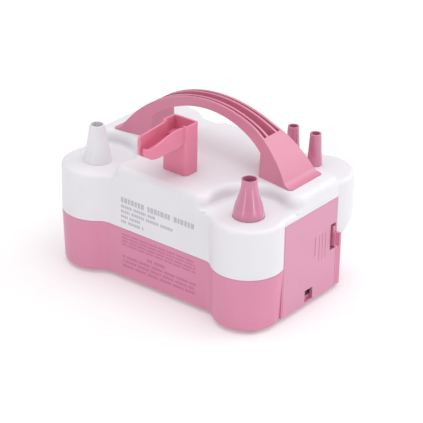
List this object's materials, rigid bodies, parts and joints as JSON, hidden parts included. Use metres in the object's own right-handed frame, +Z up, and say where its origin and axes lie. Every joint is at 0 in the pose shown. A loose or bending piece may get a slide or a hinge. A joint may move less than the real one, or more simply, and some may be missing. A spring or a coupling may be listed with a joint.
{
  "type": "electric balloon pump",
  "caption": "Table-top electric balloon pump: four-lobed two-part housing, arched handle, big and small blowing nozzles, balloon-tying tool and a cord compartment with a hinged, latched door.",
  "frame": {"origin": "on the table, under the middle of the four-lobed body", "axes": "+Z up, +X towards the end with the cord compartment's door, -Y towards the front, where the two big nozzles and the tying tool are"},
  "size_m": [0.2182, 0.1583, 0.1495],
  "materials": {
    "white_shell": "gloss",
    "pink_shell": "gloss",
    "pink_door": "gloss",
    "pink_nozzle": "gloss",
    "rose_tool": "gloss",
    "pink_handle": "gloss",
    "pink_latch": "gloss",
    "black_rubber": "matt",
    "grey_foam": "matt",
    "inner_plastic": "satin",
    "black_plastic": "satin",
    "red_rocker": "gloss",
    "screw_steel": "zinc plated",
    "shaft_steel": "ground",
    "spring_steel": "bright",
    "lamination": "varnished",
    "copper": "enamelled copper",
    "brass": "satin",
    "carbon": "matt"
  },
  "bodies": {
    "housing": {"upper_housing": "white_shell", "lower_housing": "pink_shell", "handle": "pink_handle", "tying_tool": "rose_tool", "white_nozzle": "white_shell", "small_nozzle_left": "pink_nozzle", "small_nozzle_right": "pink_nozzle", "nozzle_seal": "black_rubber", "return_spring": "spring_steel", "microswitch": "black_plastic", "front_duct": "inner_plastic", "rear_duct": "inner_plastic", "fan_casing_lower": "inner_plastic", "fan_casing_cover": "inner_plastic", "intake_gasket": "grey_foam", "lower_bearing": "shaft_steel", "upper_bearing": "shaft_steel", "lower_bracket": "screw_steel", "upper_bracket": "screw_steel", "stator_core": "lamination", "brush_holder_left": "brass", "brush_holder_right": "brass", "carbon_brush_left": "carbon", "carbon_brush_right": "carbon", "field_coil_front": "copper", "field_coil_back": "copper", "cord_bay": "inner_plastic", "cord_gland": "black_rubber", "hinge_pins": "shaft_steel", "switch_body": "black_plastic", "rubber_feet": "black_rubber", "housing_screws": "screw_steel", "handle_screws": "screw_steel", "tool_screw": "screw_steel", "casing_screws": "screw_steel", "motor_screws": "screw_steel"},
    "rotor": {"motor_shaft": "shaft_steel", "armature_core": "lamination", "armature_windings": "copper", "commutator": "copper", "impeller": "inner_plastic", "impeller_nut": "screw_steel"},
    "push_nozzle": {"push_nozzle": "pink_nozzle"},
    "door": {"cord_door": "pink_door"},
    "latch": {"door_latch": "pink_latch"},
    "rocker": {"switch_rocker": "red_rocker"}
  },
  "joints": [
    {"name": "rotor_spin", "type": "hinge", "parent": "housing", "child": "rotor", "pos_m": [-0.022, 0.006, 0.05], "axis": [0, 0, 1], "continuous": true},
    {"name": "nozzle_press", "type": "slide", "parent": "housing", "child": "push_nozzle", "axis": [0, 0, -1], "range_m": [0, 0.004], "stiffness_N_per_m": 600, "springref_m": -0.002, "deforming": ["return_spring"]},
    {"name": "door_hinge", "type": "hinge", "parent": "housing", "child": "door", "pos_m": [0.10415, -0.0338, 0.045], "axis": [0, 0, -1], "range_deg": [0, 100]},
    {"name": "latch_slide", "type": "slide", "parent": "door", "child": "latch", "axis": [0, -1, 0], "range_m": [0, 0.003]},
    {"name": "rocker_tilt", "type": "hinge", "parent": "housing", "child": "rocker", "pos_m": [-0.036, 0.06194, 0.076], "axis": [0, 0, 1], "range_deg": [-10, 10]}
  ]
}
